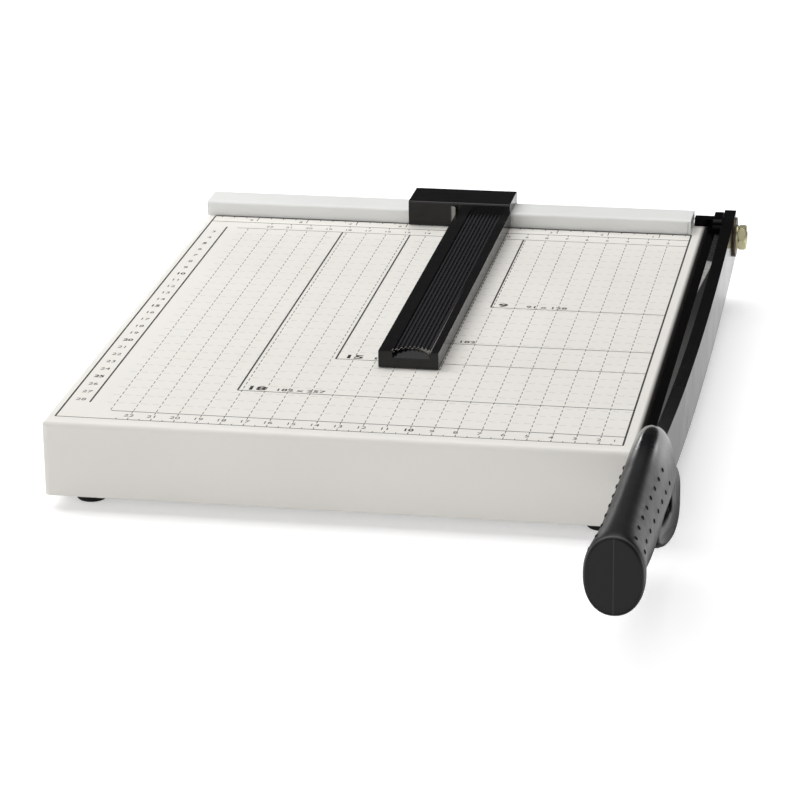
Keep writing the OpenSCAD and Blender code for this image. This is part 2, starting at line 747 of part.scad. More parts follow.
// Cross-section of the pocket that takes the blade
pocket_section = [
    [back_r - pocket_play, 0], [back_r + blade_h + pocket_play, 0],
    [back_r + blade_h + pocket_play, blade_t + 2 * pocket_play],
    [back_r - pocket_play, blade_t + 2 * pocket_play]
];

// Puts its children on the middle of the tang, at each handle screw, in the parting plane
module at_handle_screws() {
    for (d = [handle_screw_1, handle_screw_1 + handle_screw_gap])
        translate([x_mid, y_arc, z_arc])
            rotate([-front_angle, 0, 0])
                translate([0, -d, -back_r - tang_in - tang_h / 2])
                    children();
}

// Curved blade with a bevelled edge, a pivot hole and a tang
module blade() {
    color([0.1, 0.1, 0.1])
    difference() {
        blade_plate(blade_section);
        translate([x_blade - cut, y_pivot, z_pivot]) rod_x(stud_d + 2 * stud_play, blade_t + 2 * cut);
        at_handle_screws() translate([-blade_t, 0, 0]) rod_x(handle_screw_d + 2 * head_play, 2 * blade_t);
    }
}

// Point of a handle section at an angle from its widest line
function section_point(s, a) =
    let (up = s[3] - s[2], down = s[2] - s[4], k = a < 0 ? round_bottom : round_top)
    [
        s[1] * pow(abs(cos(a)), 2 / k),
        -s[0],
        a < 0 ? s[2] - down * pow(sin(-a), 2 / k) : s[2] + up * pow(sin(a), 2 / k)
    ];

grip_rings = concat(
    [for (i = [0 : len(grip_sections) - 2], k = [0 : section_steps - 1])
        along(grip_sections, i, k / section_steps)],
    [grip_sections[len(grip_sections) - 1]]
);

// Right-hand half of the grip, a loft from the parting plane outwards
module half_grip() {
    n = half_points;
    m = len(grip_rings);
    points = [for (s = grip_rings, j = [0 : n]) section_point(s, j == n ? 90 : -90 + 180 * j / n)];
    skin = [for (i = [0 : m - 2], j = [0 : n]) let (
        a = i * (n + 1) + j, b = i * (n + 1) + (j + 1) % (n + 1), c = a + n + 1, d = b + n + 1
    ) each [[a, c, b], [b, c, d]]];
    nose = [[for (j = [0 : n]) j]];
    pommel = [[for (j = [n : -1 : 0]) (m - 1) * (n + 1) + j]];
    polyhedron(points, concat(skin, nose, pommel), convexity = 4);
}

guard_points = [for (i = [0 : len(guard_outline) - 1], k = [0, 1]) around(guard_outline, i, k / 2)];

// Outline point i of the guard, drawn in by r
function drawn_in(i, r) =
    let (
        n = len(guard_points), a = guard_points[(i + n - 1) % n], b = guard_points[(i + 1) % n],
        t = (b - a) / norm(b - a)
    )
    guard_points[i] + r * [-t[1], t[0]];

// Right-hand half of the finger guard: its outline, drawn in towards the outer face to round the edge
module half_guard() {
    n = len(guard_points);
    flat_x = guard_w / 2 - guard_edge_r;
    levels = concat(
        [[0, 0]],
        [for (k = [0 : edge_steps]) let (a = 90 * k / edge_steps)
            [flat_x + guard_edge_r * sin(a), guard_edge_r * (1 - cos(a))]]
    );
    m = len(levels);
    points = [for (l = levels, i = [0 : n - 1]) let (p = drawn_in(i, l[1]))
        [l[0] * (1 - guard_taper * pow(max(0, p[1] / guard_h + guard_waist), 2)), -p[0], p[1]]];
    skin = [for (l = [0 : m - 2], i = [0 : n - 1]) let (
        a = l * n + i, b = l * n + (i + 1) % n, c = a + n, d = b + n
    ) each [[a, b, c], [b, d, c]]];
    inner = [[for (i = [n - 1 : -1 : 0]) i]];
    outer = [[for (i = [0 : n - 1]) (m - 1) * n + i]];
    polyhedron(points, concat(skin, inner, outer), convexity = 6);
}

// One half of the handle, with the pocket for the blade and its tang: side is 1 on the right, -1 on the left.
// The resize keeps every size and makes the moulded form one mesh before the screw holes are drilled.
module handle_half(side) {
    difference() {
        resize([0, 0, 0])
        difference() {
            translate([x_mid, y_nose, z_handle])
                mirror([side < 0 ? 1 : 0, 0, 0]) {
                    half_grip();
                    half_guard();
                }
            blade_plate(pocket_section, pocket_play);
        }
        children();
    }
}

module handle_right() {
    color([0.13, 0.13, 0.14])
    handle_half(1)
        at_handle_screws()
            translate([-cut, 0, 0]) rod_x(handle_screw_d + 2 * screw_play, handle_bite + tip_play + cut);
}

// Distance from the parting plane to the seat of a handle screw's head
handle_seat = blade_t / 2 + pocket_play + handle_web;

module handle_left() {
    color([0.13, 0.13, 0.14])
    handle_half(-1)
        at_handle_screws() {
            translate([-handle_seat - cut, 0, 0])
                rod_x(handle_screw_d + 2 * screw_play, handle_seat + 2 * cut);
            translate([-handle_seat - grip_w, 0, 0])
                rod_x(handle_head_d + 2 * head_play, grip_w);
        }
}

module handle_screws() {
    color([0.2, 0.2, 0.2])
    at_handle_screws()
        translate([-handle_seat, 0, 0])
            rotate([0, 90, 0])
                screw_up(handle_screw_d, handle_seat + handle_bite, handle_head_d, handle_head_h);
}

// Round rubber foot under a flange, with a recess for its screw
module foot(x, y) {
    color([0.12, 0.12, 0.12])
    translate([x * foot_x, y * foot_y, 0])
    rotate_extrude()
        polygon([
            [foot_screw_d / 2 + screw_play, foot_h - foot_web],
            [foot_head_d / 2 + head_play, foot_h - foot_web],
            [foot_head_d / 2 + head_play, 0],
            [foot_d / 2 - foot_taper, 0],
            [foot_d / 2 - foot_taper / 2, foot_taper / 2],
            [foot_d / 2, foot_h],
            [foot_screw_d / 2 + screw_play, foot_h]
        ]);
}

module foot_front_left() { foot(-1, -1); }
module foot_front_right() { foot(1, -1); }
module foot_rear_left() { foot(-1, 1); }
module foot_rear_right() { foot(1, 1); }

module foot_screws() {
    tip = 3 * sheet_t;
    color([0.7, 0.7, 0.7])
    for (x = [-1, 1], y = [-1, 1])
        translate([x * foot_x, y * foot_y, foot_h - foot_web])
            screw_up(foot_screw_d, foot_web + tip, foot_head_d, foot_head_h);
}

translate(to_origin) {
    base_shell();
    fence_rail();
    fence_screws();
    guide_slider();
    guide_spring();
    bed_knife();
    bed_knife_screws();
    bed_knife_washers();
    ear_brace();
    ear_brace_screw();
    pivot_stud();
    pivot_washer();
    pivot_lock_washer();
    pivot_nut();
    blade();
    handle_left();
    handle_right();
    handle_screws();
    foot_front_left();
    foot_front_right();
    foot_rear_left();
    foot_rear_right();
    foot_screws();
}
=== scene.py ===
# Paper cutter: camera, finishes, printed scale, smooth handle with grip nubs, floor and light
import json
import math

import bmesh
import bpy
from mathutils import Matrix, Vector
from mathutils.bvhtree import BVHTree


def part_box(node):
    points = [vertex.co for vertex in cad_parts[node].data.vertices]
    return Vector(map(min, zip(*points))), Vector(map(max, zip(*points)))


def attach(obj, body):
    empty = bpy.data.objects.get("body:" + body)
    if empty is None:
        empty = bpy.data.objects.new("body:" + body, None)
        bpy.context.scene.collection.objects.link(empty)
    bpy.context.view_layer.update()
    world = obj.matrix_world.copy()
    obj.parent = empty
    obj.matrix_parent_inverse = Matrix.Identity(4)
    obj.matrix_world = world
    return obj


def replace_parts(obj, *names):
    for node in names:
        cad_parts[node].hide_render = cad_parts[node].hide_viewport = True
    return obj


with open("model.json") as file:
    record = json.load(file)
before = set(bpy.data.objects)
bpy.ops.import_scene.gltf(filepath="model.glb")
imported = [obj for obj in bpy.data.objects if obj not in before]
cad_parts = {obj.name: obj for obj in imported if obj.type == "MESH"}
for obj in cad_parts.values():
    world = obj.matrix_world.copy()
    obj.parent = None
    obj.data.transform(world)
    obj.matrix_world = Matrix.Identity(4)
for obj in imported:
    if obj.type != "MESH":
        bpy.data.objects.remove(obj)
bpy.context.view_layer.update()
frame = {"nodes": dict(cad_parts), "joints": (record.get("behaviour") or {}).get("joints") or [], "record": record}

MM = 0.001
CM = 0.01

# Camera
CAMERA_PLACE = (0.246004, -1.334455, 0.516599)
CAMERA_TARGET = (0.008214, -0.030658, 0.0398)
CAMERA_ROLL = math.radians(-0.631)
CAMERA_LENS = 148.23
CAMERA_SENSOR = 36.0


def make_camera():
    data = bpy.data.cameras.new("camera")
    data.lens = CAMERA_LENS
    data.sensor_width = CAMERA_SENSOR
    data.clip_start = 0.05
    data.clip_end = 100.0
    camera = bpy.data.objects.new("camera", data)
    view = Vector(CAMERA_TARGET) - Vector(CAMERA_PLACE)
    turn = view.to_track_quat("-Z", "Y").to_matrix().to_4x4()
    camera.matrix_world = Matrix.Translation(CAMERA_PLACE) @ turn @ Matrix.Rotation(CAMERA_ROLL, 4, "Z")
    bpy.context.scene.collection.objects.link(camera)
    bpy.context.scene.camera = camera


# Colours and node materials
def srgb(red, green, blue):
    def linear(value):
        share = value / 255
        return share / 12.92 if share <= 0.04045 else ((share + 0.055) / 1.055) ** 2.4

    return (linear(red), linear(green), linear(blue), 1.0)


class Finish:
    """A node material: one Principled shader and the textures that feed it, with lengths in millimetres."""

    def __init__(self, name, **sockets):
        self.material = bpy.data.materials.new(name)
        self.material.use_nodes = True
        self.tree = self.material.node_tree
        self.shader = self.tree.nodes["Principled BSDF"]
        coordinates = self.add("ShaderNodeTexCoord")
        self.place = coordinates.outputs["Object"]
        self.facing = coordinates.outputs["Normal"]
        for socket, value in sockets.items():
            self.shader.inputs[socket.replace("_", " ")].default_value = value

    def add(self, kind, inputs=None, **settings):
        node = self.tree.nodes.new(kind)
        for setting, value in settings.items():
            setattr(node, setting, value)
        for socket, value in (inputs or {}).items():
            self.feed(node.inputs[socket], value)
        return node

    def feed(self, socket, value):
        if isinstance(value, bpy.types.NodeSocket):
            self.tree.links.new(value, socket)
        else:
            socket.default_value = value

    def noise(self, size, detail=3.0, stretch=(1.0, 1.0, 1.0)):
        scale = tuple(share / (size * MM) for share in stretch)
        vector = self.add("ShaderNodeVectorMath", {0: self.place, 1: scale}, operation="MULTIPLY")
        texture = self.add(
            "ShaderNodeTexNoise", {"Vector": vector.outputs[0], "Scale": 1.0, "Detail": detail}
        )
        return texture.outputs["Fac"]

    def spread(self, value, low, high, start=0.3, end=0.7):
        node = self.add(
            "ShaderNodeMapRange",
            {"Value": value, "From Min": start, "From Max": end, "To Min": low, "To Max": high},
        )
        return node.outputs["Result"]

    def mix(self, share, first, second):
        node = self.add("ShaderNodeMix", {0: share, 6: first, 7: second}, data_type="RGBA")
        return node.outputs[2]

    def blend(self, share, first, second):
        return self.add("ShaderNodeMix", {0: share, 2: first, 3: second}, data_type="FLOAT").outputs[0]

    def multiply(self, first, second):
        return self.add("ShaderNodeMath", {0: first, 1: second}, operation="MULTIPLY").outputs[0]

    def sum(self, first, second):
        return self.add("ShaderNodeMath", {0: first, 1: second}).outputs[0]

    def larger(self, first, second):
        return self.add("ShaderNodeMath", {0: first, 1: second}, operation="MAXIMUM").outputs[0]

    def distance(self, point):
        """How far a place lies from a point, seen from above."""
        level = self.add("ShaderNodeVectorMath", {0: self.place, 1: (1.0, 1.0, 0.0)}, operation="MULTIPLY")
        apart = self.add("ShaderNodeVectorMath", {0: level.outputs[0], 1: point}, operation="DISTANCE")
        return apart.outputs["Value"]

    def axis(self, vector, name):
        return self.add("ShaderNodeSeparateXYZ", {0: vector}).outputs[name]

    def edges(self, width):
        """1 on the edges of the mesh, falling to 0 within the width."""
        rounded = self.add("ShaderNodeBevel", {"Radius": width * MM}, samples=6).outputs[0]
        flat = self.add("ShaderNodeNewGeometry").outputs["True Normal"]
        dot = self.add("ShaderNodeVectorMath", {0: rounded, 1: flat}, operation="DOT_PRODUCT")
        return self.spread(dot.outputs["Value"], 1.0, 0.0, 0.8, 0.995)

    def colour(self, value):
        self.feed(self.shader.inputs["Base Color"], value)

    def rough(self, value):
        self.feed(self.shader.inputs["Roughness"], value)

    def metal(self, value):
        self.feed(self.shader.inputs["Metallic"], value)

    def relief(self, height, depth, round_edges=0.0):
        """Bump of the given depth, over edges softened by a radius."""
        bump = self.add("ShaderNodeBump", {"Height": height, "Distance": depth * MM, "Strength": 1.0})
        if round_edges:
            bevel = self.add("ShaderNodeBevel", {"Radius": round_edges * MM}, samples=6)
            self.feed(bump.inputs["Normal"], bevel.outputs[0])
        self.feed(self.shader.inputs["Normal"], bump.outputs[0])


# Painted shade darkens the folded edge beside the bed knife
FOLD_X = (0.1122, 0.1142)
FOLD_Z = (0.0365, 0.0385)


def knife_side(finish):
    across = finish.spread(finish.axis(finish.place, "X"), 0, 1, *FOLD_X)
    return finish.multiply(across, finish.spread(finish.axis(finish.place, "Z"), 0, 1, *FOLD_Z))


def painted_cream():
    finish = Finish("base_paint", Specular_IOR_Level=0.4)
    cloud = finish.noise(90)
    plain = finish.mix(finish.spread(cloud, 0, 1), srgb(236, 233, 226), srgb(240, 237, 231))
    # Painted highlight: the paint is lighter on the edges
    plain = finish.mix(finish.edges(0.7), plain, srgb(243, 241, 235))
    # Painted shade: the folded edge beside the bed knife goes dark
    finish.colour(finish.mix(knife_side(finish), plain, srgb(24, 21, 18)))
    finish.rough(finish.spread(finish.noise(14), 0.42, 0.52))
    finish.relief(finish.noise(0.9, 2), 0.012, 0.6)
    return finish.material


def pale_plastic():
    finish = Finish("fence_plastic", Specular_IOR_Level=0.4)
    cloud = finish.noise(60)
    plain = finish.mix(finish.spread(cloud, 0, 1), srgb(233, 234, 231), srgb(237, 237, 235))
    # Painted highlight: the plastic is lighter on the edges
    finish.colour(finish.mix(finish.edges(0.6), plain, srgb(243, 243, 241)))
    finish.rough(finish.spread(finish.noise(8), 0.4, 0.5))
    finish.relief(finish.noise(0.5, 2), 0.01, 0.5)
    return finish.material


def band(finish, value, start, first, last, end):
    """1 between two values, falling to 0 at the outer ones."""
    return finish.multiply(finish.spread(value, 0, 1, start, first), finish.spread(value, 1, 0, last, end))


def level(finish):
    """1 on faces that look up."""
    return finish.spread(finish.axis(finish.facing, "Z"), 0, 1, 0.8, 0.95)


# Painted highlights: the guide is lighter along the arc behind its thumb scoop, on the right edge of its floor and
# in its fillet
guide_low, guide_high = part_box("guide_slider")
ARM_RIM = 4.0
ARM_FLOOR_HALF = 8.3
SCOOP_L = 9.0
SCOOP_R = 8.33
SCOOP_MID = (
    guide_high.x - (ARM_RIM + ARM_FLOOR_HALF) * MM, guide_low.y + (SCOOP_L - SCOOP_R) * MM, 0.0
)
SCOOP_HIGHLIGHT_RING = tuple((SCOOP_R + step) * MM for step in (-0.1, 0.05, 0.5, 0.65))
EDGE_X = tuple(SCOOP_MID[0] + (ARM_FLOOR_HALF + step) * MM for step in (-0.1, 0.05, 0.4, 0.55))
EDGE_Y = (guide_low.y + 10 * MM, guide_low.y + 95 * MM)
EDGE_SHARE = 0.7
SCOOP_FADE = 2 * MM


def guide_rub(finish):
    along = finish.axis(finish.place, "Y")
    behind = finish.spread(along, 0, 1, SCOOP_MID[1], SCOOP_MID[1] + SCOOP_FADE)
    scoop = finish.multiply(band(finish, finish.distance(SCOOP_MID), *SCOOP_HIGHLIGHT_RING), behind)
    edge = band(finish, finish.axis(finish.place, "X"), *EDGE_X)
    edge = finish.multiply(edge, finish.spread(along, EDGE_SHARE, 0, *EDGE_Y))
    left = finish.spread(finish.axis(finish.facing, "X"), 1, 0, -0.5, -0.2)
    front = finish.spread(finish.axis(finish.facing, "Y"), 1, 0, -0.5, -0.2)
    flat = finish.multiply(finish.larger(scoop, edge), level(finish))
    return finish.larger(flat, finish.multiply(left, front))


# The guide's ribbed floor is duller than its rims, and its rib tops carry a painted highlight
ARM_FLOOR_Z = (0.0459, 0.0462, 0.0472, 0.0474)
ARM_FLOOR_ROUGH = 0.26
RIB_Z = (0.0467, 0.0469, 0.0471, 0.0473)


def guide_black():
    finish = Finish("guide_plastic", Specular_IOR_Level=0.35)
    plain = finish.mix(finish.spread(finish.noise(25), 0, 1), srgb(7, 6, 7), srgb(11, 10, 11))
    # Painted highlight: the plastic is lighter on the edges
    plain = finish.mix(finish.multiply(finish.edges(0.15), 0.5), plain, srgb(30, 29, 29))
    height = finish.axis(finish.place, "Z")
    flat = level(finish)
    # Painted highlight: the tops of the ribs are lighter
    rib_highlight = finish.multiply(flat, band(finish, height, *RIB_Z))
    plain = finish.mix(rib_highlight, plain, srgb(40, 39, 43))
    # Painted highlights behind the thumb scoop, on the floor's right edge and in the fillet
    finish.colour(finish.mix(guide_rub(finish), plain, srgb(140, 136, 132)))
    floor = finish.multiply(flat, band(finish, height, *ARM_FLOOR_Z))
    finish.rough(finish.blend(floor, finish.spread(finish.noise(6), 0.18, 0.22), ARM_FLOOR_ROUGH))
    finish.relief(finish.noise(0.5, 2), 0.003)
    return finish.material


# The handle's nose is polished and its underside dull; its pommel has a painted highlight round its rim and a
# lighter line along the parting line
NOSE_Y = (-0.17, -0.142, -0.124, -0.118)
NOSE_UP = (0.1, 0.4)
NOSE_ROUGH = 0.15
GUARD_Z = (0.026, 0.044)
UNDER_ROUGH = 0.85
RIM_Y = (-0.2552, -0.2545, -0.2544, -0.2539)
PARTING_X = (0.12555, 0.1257, 0.1259, 0.12605)


def handle_black():
    finish = Finish("handle_plastic", Specular_IOR_Level=0.26)
    plain = finish.mix(finish.spread(finish.noise(25), 0, 1), srgb(13, 12, 14), srgb(17, 16, 18))
    along = finish.axis(finish.place, "Y")
    parting = finish.multiply(
        band(finish, finish.axis(finish.place, "X"), *PARTING_X), finish.spread(along, 1, 0, *RIM_Y[1:3])
    )
    # Painted highlight round the pommel's rim, and a lighter parting line
    rim_highlight_and_parting = finish.larger(band(finish, along, *RIM_Y), finish.multiply(parting, 0.4))
    finish.colour(finish.mix(rim_highlight_and_parting, plain, srgb(78, 75, 75)))
    facing = finish.axis(finish.facing, "Z")
    nose = finish.multiply(band(finish, along, *NOSE_Y), finish.spread(facing, 0, 1, *NOSE_UP))
    guard = finish.spread(finish.axis(finish.place, "Z"), 1, 0, *GUARD_Z)
    under = finish.larger(guard, finish.spread(facing, 1, 0, -0.3, 0.0))
    satin = finish.spread(finish.noise(6), 0.4, 0.46)
    finish.rough(finish.blend(under, finish.blend(nose, satin, NOSE_ROUGH), UNDER_ROUGH))
    finish.relief(finish.multiply(finish.noise(0.5, 2), finish.spread(nose, 1, 0, 0, 1)), 0.003)
    return finish.material


def ground_steel(finish, lines):
    """Colour and roughness of bare ground steel with fine lines along one axis."""
    grain = finish.noise(0.35, 2, lines)
    return finish.mix(grain, srgb(150, 149, 147), srgb(226, 225, 222)), finish.spread(grain, 0.24, 0.38)


# Black paint is worn dull towards the handle
HANDLED_Y = (-0.1, 0.2)


def knife_black(name, bare, rough, bright, gloss):
    """Black paint that is ground off where bare gives 1, to steel that shines by the share bright."""
    finish = Finish(name, Specular_IOR_Level=gloss)
    mask = bare(finish)
    cloud = finish.noise(30)
    paint = finish.mix(finish.spread(cloud, 0, 1), srgb(3, 2, 2), srgb(6, 5, 4))
    paint = finish.mix(finish.multiply(finish.edges(0.35), 0.1), paint, srgb(74, 72, 70))
    steel, steel_rough = ground_steel(finish, (0.12, 1.0, 1.0))
    finish.colour(finish.mix(mask, paint, steel))
    handled = finish.spread(finish.axis(finish.place, "Y"), rough[1], rough[0], *HANDLED_Y)
    paint_rough = finish.blend(0.9, finish.noise(20), handled)
    finish.rough(finish.blend(mask, paint_rough, steel_rough))
    finish.metal(finish.multiply(mask, bright))
    finish.relief(finish.noise(12, 1), 0.002)
    return finish.material


# The bed knife's land is worn bright in a streak near the pivot that tapers, then dull towards the handle
STREAK_Y = (0.13, 0.188)
STREAK_X = (0.1195, 0.1232)
DULL_Y = (-0.06, 0.11)
DULL = (0.28, 0.06)


def land_mask(finish):
    """The bed knife's ground land leans a little to the blade's side."""
    lean = finish.spread(finish.axis(finish.facing, "X"), 0, 1, 0.1, 0.15)
    up = finish.spread(finish.axis(finish.facing, "Z"), 0, 1, 0.85, 0.95)
    along = finish.axis(finish.place, "Y")
    across = finish.spread(finish.axis(finish.place, "X"), 1, 0, *STREAK_X)
    taper = finish.spread(along, 0, 1, *STREAK_Y)
    streak = finish.spread(finish.sum(across, taper), 0, 1, 0.95, 1.1)
    streak = finish.multiply(streak, finish.spread(along, 1, 0, STREAK_Y[1] - 0.003, STREAK_Y[1]))
    dull = finish.spread(along, *DULL, *DULL_Y)
    return finish.multiply(finish.multiply(lean, up), finish.larger(streak, dull))


def bevel_mask(finish):
    """The blade's bevel faces outwards and down."""
    out = finish.spread(finish.axis(finish.facing, "X"), 0, 1, 0.1, 0.2)
    down = finish.spread(finish.axis(finish.facing, "Z"), 1, 0, -0.25, -0.15)
    return finish.multiply(out, down)


def plated(name, dark, light, rough, grain=0.6):
    finish = Finish(name, Metallic=1.0)
    cloud = finish.noise(4)
    plain = finish.mix(finish.spread(cloud, 0, 1), dark, light)
    finish.colour(finish.mix(finish.multiply(finish.edges(0.3), 0.6), plain, srgb(235, 232, 222)))
    finish.rough(finish.spread(finish.noise(1.5), rough[0], rough[1]))
    finish.relief(finish.noise(grain, 2), 0.008, 0.25)
    return finish.material


def rubber():
    finish = Finish("foot_rubber", Specular_IOR_Level=0.2)
    finish.colour(finish.mix(finish.spread(finish.noise(5), 0, 1), srgb(22, 22, 22), srgb(36, 35, 35)))
    finish.rough(finish.spread(finish.noise(2), 0.7, 0.85))
    finish.relief(finish.noise(0.6, 2), 0.03, 0.4)
    return finish.material


def ink(name, dark, light):
    finish = Finish(name, Specular_IOR_Level=0.3)
    finish.colour(finish.mix(finish.spread(finish.noise(1.2), 0, 1), dark, light))
    finish.rough(finish.spread(finish.noise(3), 0.5, 0.62))
    finish.relief(finish.noise(0.4, 2), 0.004)
    return finish.material


FINISHES = {
    "base_paint": painted_cream(),
    "fence_plastic": pale_plastic(),
    "guide_plastic": guide_black(),
    "handle_plastic": handle_black(),
    "knife_paint": knife_black("knife_paint", land_mask, (0.14, 0.2), 0.4, 0.05),
    "blade_paint": knife_black("blade_paint", bevel_mask, (0.12, 0.3), 1.0, 0.15),
    "spring_steel": plated("spring_steel", srgb(150, 150, 152), srgb(196, 196, 197), (0.25, 0.4)),
    "pivot_zinc": plated("pivot_zinc", srgb(182, 176, 138), srgb(206, 201, 164), (0.34, 0.46)),
    "washer_steel": plated("washer_steel", srgb(60, 50, 42), srgb(92, 80, 68), (0.4, 0.55)),
    "screw_zinc": plated("screw_zinc", srgb(168, 169, 172), srgb(205, 206, 208), (0.28, 0.42)),
    "screw_black": plated("screw_black", srgb(26, 26, 27), srgb(44, 44, 45), (0.4, 0.55)),
    "foot_rubber": rubber(),
}
INK_DARK = ink("ink_dark", srgb(30, 29, 27), srgb(42, 41, 39))
INK_GREY = ink("ink_grey", srgb(76, 74, 72), srgb(94, 92, 89))
INK_PALE = ink("ink_pale", srgb(198, 195, 190), srgb(207, 204, 199))


def dress_nodes():
    for part in frame["record"]["subparts"]:
        for slot in frame["nodes"][part["node"]].material_slots:
            slot.material = FINISHES[part["material_slot"]]


def add_piece(name, mesh, body, slot, finish=None):
    """A new piece of the object in its place, riding on a body."""
    piece = bpy.data.objects.new(name, mesh)
    bpy.context.scene.collection.objects.link(piece)
    mesh.materials.clear()
    mesh.materials.append(finish or FINISHES[slot])
    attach(piece, body)
    return piece


# Printed scale, in centimetres: u leftwards from the cutting line and v from the fence to the front
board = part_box("base_shell")[1]
SCALE_ZERO = board.x + 2.8 * MM
FENCE_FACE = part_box("fence_rail")[0].y
INK_SINK = 0.02 * MM
INK_LIFT = 0.03 * MM
FRAME_U = (1.0, 25.13)
FRAME_V = (0.07, 30.0)
COLUMN_U = 24.13
COLUMN_V = (1.9, 28.1)
COLUMN_DIGIT_U = 24.6
COLUMN_DIGIT_RISE = 0.2
GRID_V = (2, 29)
GRID_TOP_END = 23.6
GRID_FOOT_END = 22.95
GRID_COLUMNS = range(2, 24)
GRID_ROWS = range(3, 29)
ROW_END = 23.5
INCH = 2.54
INCH_QUARTERS = range(2, 40)
INCH_TICK_V = 0.72
QUARTER_TICK_V = 0.3
INCH_DIGIT = (0.3, 0.62)
HEAD_V = 1
HEAD_COLUMNS = range(2, 23)
HEAD_TICK = 0.22
HEAD_DIGIT_V = 1.6
FOOT_COLUMNS = range(1, 23)
FOOT_TICK = 0.24
FOOT_HALF_TICK = 0.14
FOOT_DIGIT_V = 29.5
FOOT_DIGIT_SHIFT = 0.05
FIRST_DIGIT_U = 1.4
BOLD = 1.4
HEAVY = 0.78
MEDIUM = 0.5
FINE = 0.34
DASH_STEP = 0.5
DASH_SHARE = 0.56
SHEETS = [(18.2, 25.7), (14.8, 21.0), (12.8, 18.2), (9.1, 12.8)]
DIGIT_H = 3.0
SMALL_DIGIT_H = DIGIT_H * 0.8
LABEL_H = 4.6
LABEL_SHIFT = (0.3, 0.36)
SHEET_SIZE_SHIFT = (1.6, 0.3)
DIGIT_WEIGHT = 0.12
LABEL_WEIGHT = 0.2
SHEET_SIZE_WEIGHT = 0.06
DIGIT_SHARE_OF_SIZE = 0.72


def final_mesh(made):
    """A new mesh of an object as its curves or modifiers leave it."""
    return bpy.data.meshes.new_from_object(made.evaluated_get(bpy.context.evaluated_depsgraph_get()))


def on_board(u, v):
    return Vector((SCALE_ZERO - u * CM, FENCE_FACE - v * CM, board.z))


class Print:
    """Flat ink shapes on the board, gathered in one mesh."""

    def __init__(self):
        self.shapes = bmesh.new()

    def line(self, u0, v0, u1, v1, width):
        """A straight line between two places, along or across the board."""
        half = width * MM / 2
        first, last = on_board(u0, v0), on_board(u1, v1)
        across = Vector((half, 0, 0)) if u0 == u1 else Vector((0, half, 0))
        low, high = Vector((0, 0, -INK_SINK)), Vector((0, 0, INK_LIFT))
        ring = [first - across, first + across, last + across, last - across]
        below = [self.shapes.verts.new(point + low) for point in ring]
        above = [self.shapes.verts.new(point + high) for point in ring]
        self.shapes.faces.new(below)
        self.shapes.faces.new(above)
        for i in range(4):
            j = (i + 1) % 4
            self.shapes.faces.new((below[i], below[j], above[j], above[i]))

    def dashes(self, u0, v0, u1, v1, width):
        length = max(abs(u1 - u0), abs(v1 - v0))
        count = round(length / DASH_STEP)
        step_u, step_v = (u1 - u0) / count, (v1 - v0) / count
        for i in range(count):
            near, far = i + (1 - DASH_SHARE) / 2, i + (1 + DASH_SHARE) / 2
            self.line(u0 + near * step_u, v0 + near * step_v, u0 + far * step_u, v0 + far * step_v, width)

    def number(self, text, u, v, height, weight=0.0, wide=1.1, align="CENTER"):
        """Figures of a height in millimetres, with strokes made bolder by the weight."""
        curve = bpy.data.curves.new("figures", "FONT")
        curve.body = text
        curve.align_x = align
        curve.align_y = "CENTER"
        curve.size = height * MM / DIGIT_SHARE_OF_SIZE
        curve.offset = weight * MM
        curve.resolution_u = 3
        curve.extrude = (INK_SINK + INK_LIFT) / 2
        text_object = bpy.data.objects.new("figures", curve)
        bpy.context.scene.collection.objects.link(text_object)
        shape = final_mesh(text_object)
        place = on_board(u, v) + Vector((0, 0, (INK_LIFT - INK_SINK) / 2))
        shape.transform(Matrix.Translation(place) @ Matrix.Diagonal((wide, 1, 1, 1)))
        self.shapes.from_mesh(shape)
        bpy.data.objects.remove(text_object)
        bpy.data.curves.remove(curve)
        bpy.data.meshes.remove(shape)

    def finish(self, name, finish):
        bmesh.ops.recalc_face_normals(self.shapes, faces=self.shapes.faces)
        mesh = bpy.data.meshes.new(name)
        self.shapes.to_mesh(mesh)
        self.shapes.free()
        add_piece(name, mesh, "base", "base_paint", finish)


def print_frame():
    lines = Print()
    right, left = FRAME_U
    top, bottom = FRAME_V
    lines.line(left, top, left, bottom, HEAVY)
    lines.line(right, top, right, bottom, HEAVY)
    lines.line(right, top, left, top, BOLD)
    lines.line(right, bottom, left, bottom, MEDIUM)
    lines.line(right, HEAD_V, left, HEAD_V, MEDIUM)
    lines.line(COLUMN_U, COLUMN_V[0], COLUMN_U, COLUMN_V[1], HEAVY)
    lines.line(right, GRID_V[1], GRID_FOOT_END, GRID_V[1], MEDIUM)
    for u, v in SHEETS:
        lines.line(u, GRID_V[0], u, v, HEAVY)
        lines.line(right, v, u, v, MEDIUM)
    lines.finish("print_frame", INK_DARK)


def print_grid():
    grid = Print()
    right = FRAME_U[0]
    grid.line(right, GRID_V[0], GRID_TOP_END, GRID_V[0], MEDIUM)
    for u in GRID_COLUMNS:
        grid.dashes(u, GRID_V[0], u, GRID_V[1], FINE)
    grid.finish("print_grid", INK_GREY)
    rows = Print()
    for v in GRID_ROWS:
        rows.dashes(right, v, ROW_END, v, FINE)
    rows.finish("print_rows", INK_PALE)


def inch_scale(scales):
    top = FRAME_V[0]
    for quarter in INCH_QUARTERS:
        u = quarter * INCH / 4
        whole = quarter % 4 == 0
        scales.line(u, top, u, INCH_TICK_V if whole else QUARTER_TICK_V, FINE)
        if whole:
            scales.number(str(quarter // 4), u + INCH_DIGIT[0], INCH_DIGIT[1], SMALL_DIGIT_H)


